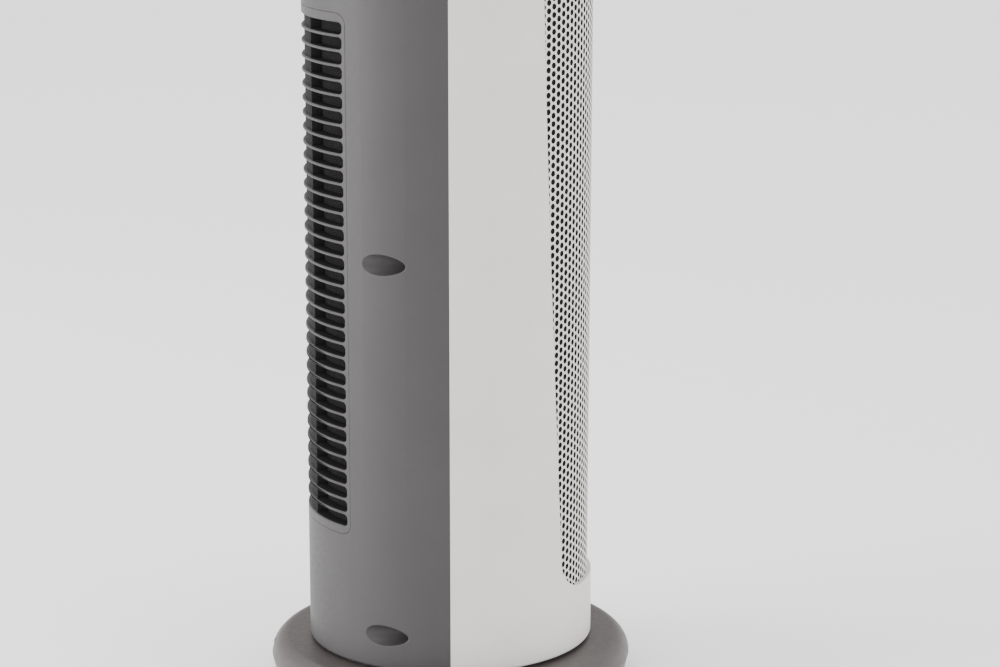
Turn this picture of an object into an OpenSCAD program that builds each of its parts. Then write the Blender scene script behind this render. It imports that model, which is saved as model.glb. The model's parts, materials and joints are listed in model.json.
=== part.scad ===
// Tower fan on a round base. The tower turns on the base and draws air in through the
// louvres at the back (-X) and blows it out through the curved screen at the front (+X).
// Z is up, and the origin is under the middle of the base, on the axis the tower turns on.

/* [Tower] */
// Outer radius of the tower
tower_r = 70; // [64:1:84]
// Wall of the front and rear shells
shell_t = 2.8; // [2.8:0.1:3.4]
// Height of the shells' lower edge above the floor
shell_z = 24.2; // [23.8:0.1:26]
// Height of the shells
shell_h = 411.8; // [400:1:500]
// Height of the top cap above the shells
cap_h = 14; // [12:0.5:18]

/* [Base] */
// Outer radius of the base
base_r = 89.2; // [86:0.2:108]
// Height of the base's top face at the tower
base_top = 22.8; // [22:0.1:23.5]
// Wall of the base cover
base_t = 2.4; // [2:0.1:3]
// Height of the rubber feet below the base cover
foot_gap = 1.5; // [1:0.1:3]
// Radius of a rubber foot
foot_r = 8; // [5:0.5:10]

/* [Rear louvres] */
// Number of open slots
slot_n = 35; // [10:1:37]
// Distance from one rib to the next
slot_pitch = 6.94; // [6:0.02:7.2]
// Thickness of a rib
rib_t = 1.3; // [1:0.1:2]
// Height of the lowest rib
slot_z = 91; // [88:0.5:95]
// Half width of the slotted field
slot_half_w = 49.5; // [40:0.5:50]
// Half width of the spine down the middle
spine_half_w = 23.4; // [10:0.2:30]

/* [Front screen] */
// Height of the window's lower edge
window_z = 56; // [50:1:70]
// Height of the window
window_h = 339; // [250:1:339]
// Half width of the window at its lower edge
window_half_w = 44; // [36:0.5:46]
// Thickness of the screen's sheet metal
screen_t = 0.8; // [0.6:0.1:1]
// Depth of the screen behind the shell's surface at the lower edge of the window
screen_depth = 1.9; // [1.5:0.1:1.9]
// How far the screen leans out over the height of the window
screen_lean = 1.3; // [0:0.1:1.3]

/* [Blower] */
// Radius of the impeller
impeller_r = 35; // [28:0.5:36]
// Number of blades
blade_n = 30; // [18:1:36]
// Number of stacked impeller sections
section_n = 8; // [4:1:10]
// Radius of the motor shaft
shaft_r = 3; // [2.5:0.1:4]
// Distance of the blower's axis behind the tower's axis
blower_back = 8; // [6:0.5:9]

/* [Oscillation] */
// Distance from the tower's axis to the crank's axis
crank_dist = 36; // [34:0.5:38]
// Throw of the crank
crank_throw = 20.8; // [18:0.2:21]
// Radius of the hollow pivot
pivot_r = 9.5; // [9:0.1:9.6]

/* [Keys] */
// Width of a key
key_w = 15; // [10:0.5:16]
// Distance from one key to the next
key_pitch = 19; // [18:0.5:20]

/* [Hidden] */
$fn = 96;

run_gap = 0.06;    // radial clearance of a shaft in its bush
face_gap = 0.1;    // between faces that slide on each other
seat_gap = 0.15;   // round a piece that drops into an opening
cut = 1;           // how far a cutting shape runs past the solid

// Tower levels and radii
shell_in = tower_r - shell_t;
shell_top = shell_z + shell_h;
total_h = shell_top + cap_h;
edge_r = 1.2;                                  // rounding of the shells' lower edge
ledge_w = 2;                                   // width of the ribs that hold discs in the shells
ledge_h = 1.1;
glide_out = shell_in - ledge_w - 0.7;          // the ring that the tower glides on
glide_in = glide_out - 3;
floor_z = shell_z + ledge_h;
floor_t = 3;
floor_top = floor_z + floor_t;

// Base
base_bottom = foot_gap;
plate_t = 2.5;
plate_top = base_bottom + plate_t;
foot_recess = 1;
rim_r = 9;                                     // round edge of the base
rim_z = base_top - 9.3;
rim_foot = 4.5;                                 // how far the base tucks in at its lower edge
plate_r = base_r - base_t - rim_foot - 0.1;
foot_ring = base_r - 22;
boss_ring = base_r - 18;
boss_r = 4.5;
base_screw_r = 1.5;
gland_z = 12;
gland_r = 6.5;
gland_hole_r = 3.6;

// Pivot
hub_wall = 2.5;
pivot_gap = 0.06;
hub_bottom = 9.5;
pivot_in = pivot_r - 3.5;
washer_t = 2.4;
washer_r = pivot_r + 4.5;
pivot_screw_r = 1.1;
pivot_screw_ring = (pivot_r + pivot_in) / 2;

// Crank: the pin stands in a radial slot in the base
pin_r = 2.5;
pin_gap = 0.7;
crank_z = floor_z + 0.7;
crank_t = 3;
arm_end_r = 4;
pocket_r = crank_throw + arm_end_r + 1;
pocket_top = crank_z + crank_t + 0.5;
pocket_wall = 2;
mount_top = pocket_top + 2.5;
swing_shaft_r = 2.5;
swing_r = 25;
swing_h = 16;
swing_lug = 29;

// Screws that join the shells: they go in from the back along X
screw_y = tower_r - 8;
screw_z = [shell_z + 16.8, shell_z + 197.8, shell_z + 378.8];
recess_r = 5;
recess_floor = -12;
recess_wall = 1.6;
post_r = 4.4;
post_l = 16;
shank_r = 1.6;
head_r = 3.2;
head_h = 2.2;

// Rear louvres
field_h = slot_n * slot_pitch + rib_t;
field_margin = 3;
grille_half_w = slot_half_w + 1.7;
grille_z = slot_z - rib_t / 2 - field_margin;
grille_h = field_h + 2 * field_margin;
grille_corner = 5;
grille_flange = 2;                             // border of the insert behind the shell
rib_depth = 6;
filter_t = 0.8;
filter_r = tower_r - rib_depth - face_gap;
spine_inset = 1.4;
slot_h = slot_pitch - rib_t;
slot_corner = slot_h / 3;
slot_mouth = 0.35;                             // chamfer of the ribs' outer edges

// Front window: its sides open upwards along a large arc
window_top = window_z + window_h;
window_grow = 0.0535;
window_curve = 6.1e-5;
window_corner = 15;
window_top_corner = 10;
screen_lap = 3.5;                              // how far the screen runs under the shell's edge
function screen_out(z) = tower_r - screen_depth + screen_lean * (z - window_z) / window_h;

// Blower
fan_x = -blower_back;
bulk_t = 3;
lower_z = grille_z - grille_flange - ledge_h - bulk_t - 0.3;
upper_z = grille_z + grille_h + grille_flange + ledge_h + 0.3;
impeller_z = lower_z + bulk_t + 3.5;
impeller_h = upper_z - impeller_z - 4;
blade_t = 1;
blade_w = 8;
disc_t = 1.6;
hub_r = 8;
hub_h = 14;
scroll_t = 1.6;
scroll_gap = 3.5;                              // between the impeller and the scroll wall
scroll_rate = 0.25;                            // how fast the scroll opens, per radian
scroll_from = 140;
scroll_to = 40;
lip_r = tower_r - 4.2;
lip_from = 44;                                 // angle of the lips' corners from the front
lip_to = 28;                                   // and of their free edges
lip_step = 2;
lip_corner = 2;
tongue_gap = 3.6;

// Fan motor, hung under the lower bulkhead
stator_r = 30;
stator_h = 12;
upper_cap_h = 9;
stator_z = lower_z - upper_cap_h - stator_h;
winding_h = 4;
rotor_r = 15;
air_gap = 0.5;
end_t = 2;
upper_cap_z = stator_z + stator_h;
lower_cap_h = 8;
lower_cap_z = stator_z - lower_cap_h;
bush_r = 6;
bush_h = 6;
motor_screw_ring = 26;
motor_screw_r = 1.6;
shaft_bottom = lower_cap_z + 0.5;

// Top of the tower
panel_r = tower_r - 20;
panel_t = 1.5;
panel_drop = 1;
panel_top = total_h - panel_drop;
panel_seat = panel_top - panel_t;
top_t = 3;
well_r = panel_r - 4;
cap_round = cap_h - 2;
spigot_h = 8;
board_z = shell_top - 2.6;
board_t = 1.6;
board_edge = 8;                                // how far the board runs past the opening under the panel
board_plug_x = 22;
board_plug_y = -20;
board_post_r = 3.2;
board_screw_r = 1.25;
switch_h = 4;
plunger_h = 1;
key_travel = 0.8;
key_x = 4;
key_l = 15;
key_gap = 0.3;
key_flange = 1;
key_corner = 2.5;
lens_x = -14;
lens_r = 1.5;

// Carry recess in the back of the tower
carry_half_w = 40;
carry_z = shell_z + 357.8;
carry_h = 30;
carry_depth = tower_r - 38;
carry_t = 2;
carry_corner = 8;

// Wiring: from the hollow pivot, under the motor, up beside the duct to the board
wire_r = 2.4;
wire_bend = 1;                                 // lap of two stretches where the loom bends
wire_hole_r = 4;
wire_x = 25;
wire_y = -52;
wire_low = mount_top + 6;
wire_high = shell_top - 22;
wire_route = [[0, 0, hub_bottom + 3], [0, 0, wire_low], [wire_x, wire_y, wire_low + 3],
    [wire_x, wire_y, wire_high], [board_plug_x, board_plug_y, board_z - 9],
    [board_plug_x, board_plug_y, board_z - wire_bend]];

// Colours
grey_shell = [0.46, 0.455, 0.45];
warm_white = [0.80, 0.79, 0.765];
taupe = [0.44, 0.42, 0.40];
dark = [0.12, 0.12, 0.12];
steel = [0.70, 0.70, 0.71];
brass = [0.75, 0.62, 0.38];

// ---------- Shared shapes ----------

// A ring from one radius to another
module ring(inner, outer, low, high) {
    translate([0, 0, low])
        difference() {
            cylinder(r = outer, h = high - low);
            translate([0, 0, -cut]) cylinder(r = inner, h = high - low + 2 * cut);
        }
}

// A rectangle with round corners, centred on the first axis and standing on the second
module round_window(half_w, low, height, corner) {
    for (side = [-1, 1], end = [0, 1])
        translate([side * (half_w - corner), low + corner + end * (height - 2 * corner)])
            circle(r = corner);
    translate([-half_w, low + corner]) square([2 * half_w, height - 2 * corner]);
    translate([-half_w + corner, low]) square([2 * (half_w - corner), height]);
}

// Runs a shape drawn in Y and Z along X, from x0 to x1
module along_x(x0, x1) {
    translate([x0, 0, 0]) rotate([90, 0, 90]) linear_extrude(x1 - x0) children();
}

// A cylinder along X
module rod_x(r, x0, x1) {
    translate([x0, 0, 0]) rotate([0, 90, 0]) cylinder(r = r, h = x1 - x0);
}

// Half of the space, in front of or behind the seam between the shells
module front_half() {
    translate([0, -2 * tower_r, -cut]) cube([2 * tower_r, 4 * tower_r, total_h + 2 * cut]);
}

module rear_half() {
    mirror([1, 0, 0]) front_half();
}

// The six places where a screw joins the shells
module at_shell_screws() {
    for (side = [-1, 1], z = screw_z)
        translate([0, side * screw_y, z]) children();
}

module at_circle(n, radius, first) {
    for (i = [0 : n - 1])
        rotate([0, 0, first + i * 360 / n]) translate([radius, 0, 0]) children();
}

// ---------- Base ----------

function arc_points(cx, cz, r, from, to, n) =
    [for (i = [0 : n]) [cx + r * cos(from + (to - from) * i / n), cz + r * sin(from + (to - from) * i / n)]];

// Half section of the base cover's outside, grown inwards by inset
module base_section(inset) {
    polygon(concat(
        [[0, base_bottom - cut], [base_r - inset - rim_foot, base_bottom - cut],
            [base_r - inset - rim_foot, base_bottom],
            [base_r - inset - 1.5, rim_z - 6]],
        arc_points(base_r - rim_r, rim_z, rim_r - inset, 0, 90, 12),
        [[tower_r - 1, base_top - inset], [0, base_top - inset]]));
}

module base_cover() {
    color(taupe)
        difference() {
            union() {
                difference() {
                    rotate_extrude() base_section(0);
                    rotate_extrude() base_section(base_t);
                    translate([0, 0, base_bottom - 2 * cut]) cylinder(r = 2 * base_r, h = 2 * cut);
                }
                translate([0, 0, hub_bottom])
                    cylinder(r = pivot_r + hub_wall, h = base_top - hub_bottom);
                at_circle(4, boss_ring, 45)
                    translate([0, 0, plate_top])
                        cylinder(r = boss_r, h = base_top - base_t - plate_top + 0.5);
            }
            translate([0, 0, hub_bottom - cut]) cylinder(r = pivot_r + pivot_gap, h = base_top);
            at_circle(4, boss_ring, 45)
                translate([0, 0, plate_top - cut]) cylinder(r = base_screw_r, h = 9 + cut);
            crank_slot();
            ring(glide_in, glide_out, base_top - 0.8, base_top + cut);
            translate([0, 0, gland_z]) rod_x(gland_r, -base_r - cut, -base_r + 14);
        }
}

// Radial slot for the crank pin, as long as a whole turn of the crank needs
module crank_slot() {
    near = crank_dist - crank_throw;
    far = crank_dist + crank_throw;
    w = pin_r + pin_gap;
    translate([0, 0, base_top - base_t - cut])
        intersection() {
            linear_extrude(base_t + 2 * cut) {
                translate([-far, -w]) square([far - near, 2 * w]);
                translate([-far, 0]) circle(r = w);
                translate([-near, 0]) circle(r = w);
            }
            ring(pivot_r + hub_wall, base_r, -cut, base_t + 3 * cut);
        }
}

module base_plate() {
    color(dark)
        difference() {
            union() {
                translate([0, 0, base_bottom]) cylinder(r = plate_r, h = plate_t);
                at_circle(4, foot_ring, 0)
                    translate([0, 0, plate_top - cut]) cylinder(r = foot_r + 2, h = cut + foot_recess);
            }
            at_circle(4, foot_ring, 0) translate([0, 0, -cut])
                cylinder(r = foot_r, h = cut + base_bottom + foot_recess);
            at_circle(4, boss_ring, 45) {
                translate([0, 0, -cut]) cylinder(r = base_screw_r + 0.2, h = 10);
                translate([0, 0, -cut]) cylinder(r = head_r + 0.2, h = cut + base_bottom + 1.2);
            }
        }
}

module rubber_feet() {
    color([0.2, 0.2, 0.2])
        at_circle(4, foot_ring, 0)
            rotate_extrude()
                polygon([[0, 0], [foot_r - 0.8, 0], [foot_r, 0.8], [foot_r, base_bottom + foot_recess],
                    [0, base_bottom + foot_recess]]);
}

module base_screws() {
    color(steel)
        at_circle(4, boss_ring, 45) {
            translate([0, 0, base_bottom + 0.2]) cylinder(r = head_r, h = 1);
            translate([0, 0, base_bottom + 1])
                cylinder(r = base_screw_r, h = plate_top + 8 - base_bottom - 1);
        }
}

// Bush in the back of the base where the mains lead goes in
module cable_gland() {
    color(dark)
        translate([0, 0, gland_z])
            difference() {
                union() {
                    rod_x(gland_r, -base_r + 1.2, -base_r + 9);
                    rod_x(gland_r + 1.4, -base_r + rim_r - 1, -base_r + 11);
                }
                rod_x(gland_hole_r, -base_r - cut, 0);
            }
}

module glide_ring() {
    color([0.85, 0.84, 0.8])
        ring(glide_in, glide_out, base_top - 0.8, floor_z - face_gap);
}

// ---------- Foot of the tower ----------

module tower_floor() {
    color(dark)
        difference() {
            union() {
                translate([0, 0, floor_z]) cylinder(r = shell_in, h = floor_t);
                translate([0, 0, hub_bottom - 0.3]) cylinder(r = pivot_r, h = floor_z - hub_bottom + 1);
                translate([-crank_dist, 0, floor_z])
                    cylinder(r = pocket_r + pocket_wall, h = mount_top - floor_z);
                for (side = [-1, 1])
                    translate([-crank_dist, side * swing_lug, floor_top - cut])
                        cylinder(r = 3.6, h = mount_top - floor_top + cut);
            }
            translate([0, 0, hub_bottom - cut]) cylinder(r = pivot_in, h = base_top + 10);
            translate([-crank_dist, 0, floor_z - cut])
                cylinder(r = pocket_r, h = pocket_top - floor_z + cut);
            translate([-crank_dist, 0, floor_z]) cylinder(r = swing_shaft_r + 1.5, h = 20);
            for (side = [-1, 1])
                translate([-crank_dist, side * swing_lug, floor_z + 1]) cylinder(r = 1.25, h = 20);
            at_circle(3, pivot_screw_ring, 0) translate([0, 0, hub_bottom - cut])
                cylinder(r = pivot_screw_r, h = 9 + cut);
        }
}

module retaining_washer() {
    color(steel)
        difference() {
            ring(pivot_in, washer_r, hub_bottom - 0.3 - washer_t, hub_bottom - 0.3);
            at_circle(3, pivot_screw_ring, 0)
                translate([0, 0, hub_bottom - washer_t - cut])
                    cylinder(r = pivot_screw_r, h = washer_t + 2 * cut);
        }
}

module pivot_screws() {
    color(steel)
        at_circle(3, pivot_screw_ring, 0) {
            translate([0, 0, hub_bottom - 0.3 - washer_t - 1.2]) cylinder(r = 1.7, h = 1.2);
            translate([0, 0, hub_bottom - 0.3 - washer_t - 0.5])
                cylinder(r = pivot_screw_r, h = washer_t + 8);
        }
}

// ---------- Shells ----------

// Whole tube of both shells, with the small rounding at its lower edge
module shell_tube() {
    rotate_extrude()
        polygon(concat(
            [[shell_in, shell_z]],
            arc_points(tower_r - edge_r, shell_z + edge_r, edge_r, -90, 0, 6),
            [[tower_r, shell_top], [shell_in, shell_top]]));
    shell_ledge(shell_z);
    shell_ledge(floor_top);
    shell_ledge(lower_z - ledge_h);
    shell_ledge(lower_z + bulk_t);
    shell_ledge(upper_z - ledge_h);
    shell_ledge(upper_z + bulk_t);
}

// Inner rib that a disc rests against
module shell_ledge(z) {
    ring(shell_in - ledge_w, shell_in + 0.5, z, z + ledge_h);
}

// Half width of the front window at a height above its lower edge, grown by lap
function window_side(h, lap) = window_half_w + lap + window_grow * h - window_curve * h * h;

// Outline of the front window in Y and Z, grown by lap all round
module window_outline(lap) {
    n = 12;
    low = window_z - lap;
    high = window_top + lap;
    side = [for (i = [0 : n]) let (h = (high - low) * i / n - lap) [window_side(h, lap), window_z + h]];
    c = window_corner + lap;
    ct = window_top_corner + lap;
    lean = c * (window_grow + 1 - sqrt(1 + window_grow * window_grow));
    difference() {
        polygon(concat(side, [for (i = [n : -1 : 0]) [-side[i][0], side[i][1]]]));
        for (s = [0, 1])
            mirror([s, 0]) {
                corner_cut(side[0][0] - c + lean, low + c, c, -1);
                corner_cut(side[n][0] - ct, high - ct, ct, 1);
            }
    }
}

// What is cut off to round an outside corner; up is -1 at the bottom and 1 at the top
module corner_cut(x, z, r, up) {
    difference() {
        translate([x, up > 0 ? z : z - r - cut]) square([2 * r, r + cut]);
        translate([x, z]) circle(r = r);
    }
}

module front_shell() {
    color(warm_white)
        difference() {
            union() {
                intersection() {
                    shell_tube();
                    front_half();
                }
                intersection() {
                    at_shell_screws() rod_x(post_r, 0, post_l);
                    translate([0, 0, shell_z]) cylinder(r = shell_in + 0.5, h = shell_h);
                }
            }
            along_x(0, 2 * tower_r) window_outline(0);
            intersection() {
                screen_solid(0);
                along_x(0, 2 * tower_r) window_outline(screen_lap);
            }
            at_shell_screws() rod_x(shank_r, -cut, post_l - 2);
        }
}

// The cone that the screen's outer face lies on
module screen_solid(inset) {
    low = window_z - screen_lap - cut;
    high = window_top + screen_lap + cut;
    translate([0, 0, low])
        cylinder(r1 = screen_out(low) - inset, r2 = screen_out(high) - inset, h = high - low);
}

// Sheet metal screen. Its perforations are finer than this model's solids go.
module front_screen() {
    color(warm_white)
        intersection() {
            difference() {
                screen_solid(0);
                screen_solid(screen_t);
            }
            along_x(0, 2 * tower_r) window_outline(screen_lap);
        }
}

module rear_shell() {
    color(grey_shell)
        difference() {
            union() {
                intersection() {
                    shell_tube();
                    rear_half();
                }
                intersection() {
                    at_shell_screws() rod_x(recess_r + recess_wall, -tower_r, 0);
                    translate([0, 0, shell_z]) cylinder(r = shell_in + 0.5, h = shell_h);
                    difference() {
                        rear_half();
                        along_x(-2 * tower_r, 0) round_window(screw_y - recess_r - 2, 0, total_h, 2);
                    }
                }
            }
            at_shell_screws() {
                rod_x(recess_r, -2 * tower_r, recess_floor);
                rod_x(shank_r, -2 * tower_r, cut);
            }
            along_x(-2 * tower_r, recess_floor - 6)
                round_window(grille_half_w + seat_gap, grille_z - seat_gap, grille_h + 2 * seat_gap,
                             grille_corner);
            along_x(-2 * tower_r, recess_floor - 6)
                round_window(carry_half_w, carry_z, carry_h, carry_corner);
        }
}

module shell_screws() {
    color(steel)
        at_shell_screws() {
            rod_x(head_r, recess_floor - head_h, recess_floor);
            rod_x(shank_r, recess_floor - 0.5, post_l - 4);
        }
}

// Louvred inlet: ribs with a chamfered nose, a frame round them and a spine close behind them
module rear_grille() {
    color(grey_shell)
        difference() {
            union() {
                grille_piece(tower_r, 0);
                grille_piece(shell_in, grille_flange);
            }
            difference() {
                along_x(-2 * tower_r, 0) slot_pattern(0);
                translate([0, 0, grille_z - cut])
                    intersection() {
                        cylinder(r = tower_r - spine_inset, h = grille_h + 2 * cut);
                        translate([-tower_r, -spine_half_w, 0])
                            cube([tower_r, 2 * spine_half_w, grille_h + 2 * cut]);
                    }
            }
            difference() {
                along_x(-2 * tower_r, 0) slot_pattern(slot_mouth);
                translate([0, 0, grille_z - cut])
                    cylinder(r = tower_r - slot_mouth, h = grille_h + 2 * cut);
            }
        }
}

// Curved plate as far out as the radius given, grown by lap all round
module grille_piece(outer, lap) {
    intersection() {
        ring(tower_r - rib_depth, outer, grille_z - lap, grille_z + grille_h + lap);
        along_x(-2 * tower_r, -tower_r / 3)
            round_window(grille_half_w + lap, grille_z - lap, grille_h + 2 * lap, grille_corner + lap);
    }
}

// Dark mesh sheet held against the inner edges of the ribs
module inlet_filter() {
    color(dark)
        intersection() {
            ring(filter_r - filter_t, filter_r, grille_z, grille_z + grille_h);
            along_x(-2 * tower_r, -tower_r / 3)
                round_window(grille_half_w, grille_z, grille_h, grille_corner);
        }
}

module slot_pattern(grow) {
    for (i = [0 : slot_n - 1])
        round_window(slot_half_w + grow, slot_z + rib_t / 2 + i * slot_pitch - grow,
                     slot_h + 2 * grow, slot_corner + grow);
}

// ---------- Air duct ----------

function scroll_r(a) = (impeller_r + scroll_gap) * exp(scroll_rate * (scroll_from - a) * PI / 180);
function scroll_point(a, out) = [fan_x + (scroll_r(a) + out) * cos(a), (scroll_r(a) + out) * sin(a)];
scroll_steps = 20;
scroll_angles = [for (i = [0 : scroll_steps]) scroll_from + (scroll_to - scroll_from) * i / scroll_steps];

// Point on a lip, which runs along the inside of the screen from a wall's end
function lip_point(a, inset) = [(lip_r - inset) * cos(a), (lip_r - inset) * sin(a)];

// Wall that opens round the impeller, with a leg to the inlet and a lip behind the screen's edge
module scroll_wall() {
    inlet = [-0.60, 0.66] * tower_r;
    color(dark)
        translate([0, 0, lower_z + bulk_t])
            linear_extrude(upper_z - lower_z - bulk_t)
                polygon(concat(
                    [for (a = [lip_to : lip_step : lip_from]) lip_point(a, scroll_t)],
                    [for (i = [scroll_steps : -1 : 0]) scroll_point(scroll_angles[i], 0)],
                    [inlet, inlet + [scroll_t, 0]],
                    [for (i = [1 : scroll_steps - 1]) scroll_point(scroll_angles[i], scroll_t)],
                    [for (a = [lip_from + lip_corner : -lip_step : lip_to]) lip_point(a, 0)]));
}

// Wall on the other side, which passes close to the impeller and parts the two air streams
module vortex_wall() {
    nose_a = -66;
    nose_r = impeller_r + tongue_gap;
    nose = [fan_x + nose_r * cos(nose_a), nose_r * sin(nose_a)];
    inlet = [-0.56, -0.66] * tower_r;
    lap = [0, -scroll_t];
    color(dark)
        translate([0, 0, lower_z + bulk_t])
            linear_extrude(upper_z - lower_z - bulk_t)
                polygon(concat(
                    [inlet, nose],
                    [for (a = [lip_from : -lip_step : lip_to]) lip_point(-a, scroll_t)],
                    [for (a = [lip_to : lip_step : lip_from + lip_corner]) lip_point(-a, 0)],
                    [nose + 1.6 * lap, inlet + lap]));
}

module lower_bulkhead() {
    color(dark)
        difference() {
            translate([0, 0, lower_z]) cylinder(r = shell_in, h = bulk_t);
            translate([fan_x, 0, lower_z - cut]) cylinder(r = shaft_r + 3, h = bulk_t + 2 * cut);
            translate([wire_x, wire_y, lower_z - cut]) cylinder(r = wire_hole_r, h = bulk_t + 2 * cut);
            at_motor_screws() translate([0, 0, lower_z - cut])
                cylinder(r = motor_screw_r, h = bulk_t + 2 * cut);
        }
}

module upper_bulkhead() {
    color(dark)
        difference() {
            translate([0, 0, upper_z]) cylinder(r = shell_in, h = bulk_t);
            translate([fan_x, 0, upper_z - cut]) cylinder(r = bush_r + 3, h = bulk_t + 2 * cut);
            translate([wire_x, wire_y, upper_z - cut]) cylinder(r = wire_hole_r, h = bulk_t + 2 * cut);
        }
}

module upper_bush() {
    color(brass)
        translate([fan_x, 0, 0]) ring(shaft_r + run_gap, bush_r, upper_z - 1, upper_z + bulk_t + 1);
}

module bush_seat() {
    color([0.2, 0.2, 0.2])
        translate([fan_x, 0, 0]) {
            ring(bush_r, bush_r + 3, upper_z - 1, upper_z + bulk_t + 1);
            ring(bush_r + 2, bush_r + 5, upper_z + bulk_t, upper_z + bulk_t + 1);
        }
}

// ---------- Fan motor ----------

module at_motor_screws() {
    translate([fan_x, 0, 0]) at_circle(3, motor_screw_ring, 60) children();
}

module motor_stator() {
    color([0.5, 0.5, 0.52])
        difference() {
            translate([fan_x, 0, stator_z]) cylinder(r = stator_r, h = stator_h);
            translate([fan_x, 0, stator_z - cut])
                cylinder(r = rotor_r + air_gap, h = stator_h + 2 * cut);
            at_motor_screws() translate([0, 0, stator_z - cut])
                cylinder(r = motor_screw_r, h = stator_h + 2 * cut);
        }
}

// Copper end turns above and below the lamination stack
module motor_windings() {
    color([0.72, 0.42, 0.22])
        translate([fan_x, 0, 0]) {
            ring(rotor_r + 1.5, rotor_r + 7.5, stator_z - winding_h, stator_z);
            ring(rotor_r + 1.5, rotor_r + 7.5, stator_z + stator_h, stator_z + stator_h + winding_h);
        }
}

// Cup-shaped end cap: rim on the stack, flat end, bush in the middle
module motor_cap(rim_z, height, up) {
    end_z = up ? rim_z + height - end_t : rim_z;
    bush_z = up ? end_z - bush_h + end_t : end_z;
    difference() {
        union() {
            translate([fan_x, 0, 0]) {
                ring(stator_r - 2, stator_r, rim_z, rim_z + height);
                translate([0, 0, end_z]) cylinder(r = stator_r, h = end_t);
                translate([0, 0, bush_z]) cylinder(r = bush_r + 2, h = bush_h);
            }
            at_motor_screws() translate([0, 0, rim_z]) cylinder(r = motor_screw_r + 1.6, h = height);
        }
        translate([fan_x, 0, bush_z - cut]) cylinder(r = bush_r, h = bush_h + 2 * cut);
        at_motor_screws() translate([0, 0, rim_z - cut])
            cylinder(r = motor_screw_r, h = height + 2 * cut);
    }
}

module motor_upper_cap() {
    color([0.62, 0.62, 0.63]) motor_cap(upper_cap_z, upper_cap_h, true);
}

module motor_lower_cap() {
    color([0.62, 0.62, 0.63]) motor_cap(lower_cap_z, lower_cap_h, false);
}

module shaft_bushes() {
    color(brass)
        translate([fan_x, 0, 0]) {
            ring(shaft_r + run_gap, bush_r, lower_z - bush_h, lower_z);
            ring(shaft_r + run_gap, bush_r, lower_cap_z, lower_cap_z + bush_h);
        }
}

module motor_screws() {
    color(steel)
        at_motor_screws() {
            translate([0, 0, lower_cap_z - 2]) cylinder(r = 3, h = 2);
            translate([0, 0, lower_cap_z - 1])
                cylinder(r = motor_screw_r, h = lower_z + bulk_t - lower_cap_z + 1);
        }
}

module motor_rotor() {
    color([0.55, 0.55, 0.57])
        translate([fan_x, 0, 0]) {
            ring(shaft_r, rotor_r, stator_z, stator_z + stator_h);
            ring(shaft_r, rotor_r - 3, stator_z - 1, stator_z + stator_h + 1);
        }
}

module motor_shaft() {
    color(steel)
        translate([fan_x, 0, shaft_bottom])
            cylinder(r = shaft_r, h = impeller_z + hub_h - shaft_bottom);
}

// ---------- Impeller ----------

// One curved blade, as a slice of a thin ring that is off the impeller's axis
module blade_outline() {
    bend = 9;
    intersection() {
        translate([impeller_r - blade_w / 2, -bend + 1.2])
            difference() {
                circle(r = bend + blade_t / 2, $fn = 48);
                circle(r = bend - blade_t / 2, $fn = 48);
            }
        translate([impeller_r - blade_w + 0.2, -1]) square([blade_w - 0.5, 4]);
    }
}

module impeller() {
    step = (impeller_h - disc_t) / section_n;
    color([0.16, 0.16, 0.17])
        translate([fan_x, 0, impeller_z]) {
            for (i = [0 : section_n])
                ring(impeller_r - blade_w - 0.5, impeller_r, i * step, i * step + disc_t);
            difference() {
                union() {
                    cylinder(r = impeller_r - blade_w, h = disc_t);
                    cylinder(r = hub_r, h = hub_h);
                }
                translate([0, 0, -cut]) cylinder(r = shaft_r, h = hub_h + 2 * cut);
                translate([0, 0, hub_h / 2 + 1]) rod_x(1.5, 0, hub_r + cut);
            }
            translate([0, 0, impeller_h - disc_t]) cylinder(r = impeller_r - blade_w, h = disc_t);
            translate([0, 0, impeller_h - cut])
                cylinder(r = shaft_r, h = upper_z + bulk_t - impeller_z - impeller_h + cut);
            for (i = [0 : blade_n - 1])
                rotate([0, 0, i * 360 / blade_n])
                    linear_extrude(impeller_h) blade_outline();
        }
}

module hub_screw() {
    color(steel)
        translate([fan_x, 0, impeller_z + hub_h / 2 + 1]) rod_x(1.5, shaft_r, hub_r - 0.5);
}

// ---------- Oscillation drive ----------

module swing_motor() {
    color([0.72, 0.72, 0.73])
        translate([-crank_dist, 0, 0])
            difference() {
                union() {
                    translate([0, 0, mount_top]) cylinder(r = swing_r, h = swing_h);
                    for (side = [-1, 1])
                        translate([0, side * swing_lug, mount_top]) cylinder(r = 3.6, h = 1);
                    translate([-3.6, -swing_lug, mount_top]) cube([7.2, 2 * swing_lug, 1]);
                }
                translate([0, 0, mount_top - cut]) cylinder(r = swing_shaft_r + run_gap, h = 8 + cut);
                for (side = [-1, 1])
                    translate([0, side * swing_lug, mount_top - cut]) cylinder(r = 1.25, h = 4);
            }
}

module swing_motor_screws() {
    color(steel)
        for (side = [-1, 1])
            translate([-crank_dist, side * swing_lug, 0]) {
                translate([0, 0, floor_z + 1.5]) cylinder(r = 1.25, h = mount_top - floor_z);
                translate([0, 0, mount_top + 1]) cylinder(r = 2.4, h = 1.4);
            }
}

module crank_arm() {
    color([0.88, 0.87, 0.84])
        difference() {
            translate([-crank_dist, 0, crank_z])
                linear_extrude(crank_t) {
                    circle(r = 6);
                    translate([-crank_throw, -arm_end_r]) square([crank_throw, 2 * arm_end_r]);
                    translate([-crank_throw, 0]) circle(r = arm_end_r);
                }
            translate([-crank_dist, 0, crank_z - cut])
                cylinder(r = swing_shaft_r, h = crank_t + 2 * cut);
        }
}

// Steel pin with the motor's output shaft, both fast in the crank arm
module crank_pin() {
    color(steel) {
        translate([-crank_dist - crank_throw, 0, base_top - base_t - 2])
            cylinder(r = pin_r, h = crank_z - base_top + base_t + 2);
        translate([-crank_dist, 0, crank_z]) cylinder(r = swing_shaft_r, h = mount_top + 7 - crank_z);
    }
}

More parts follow.
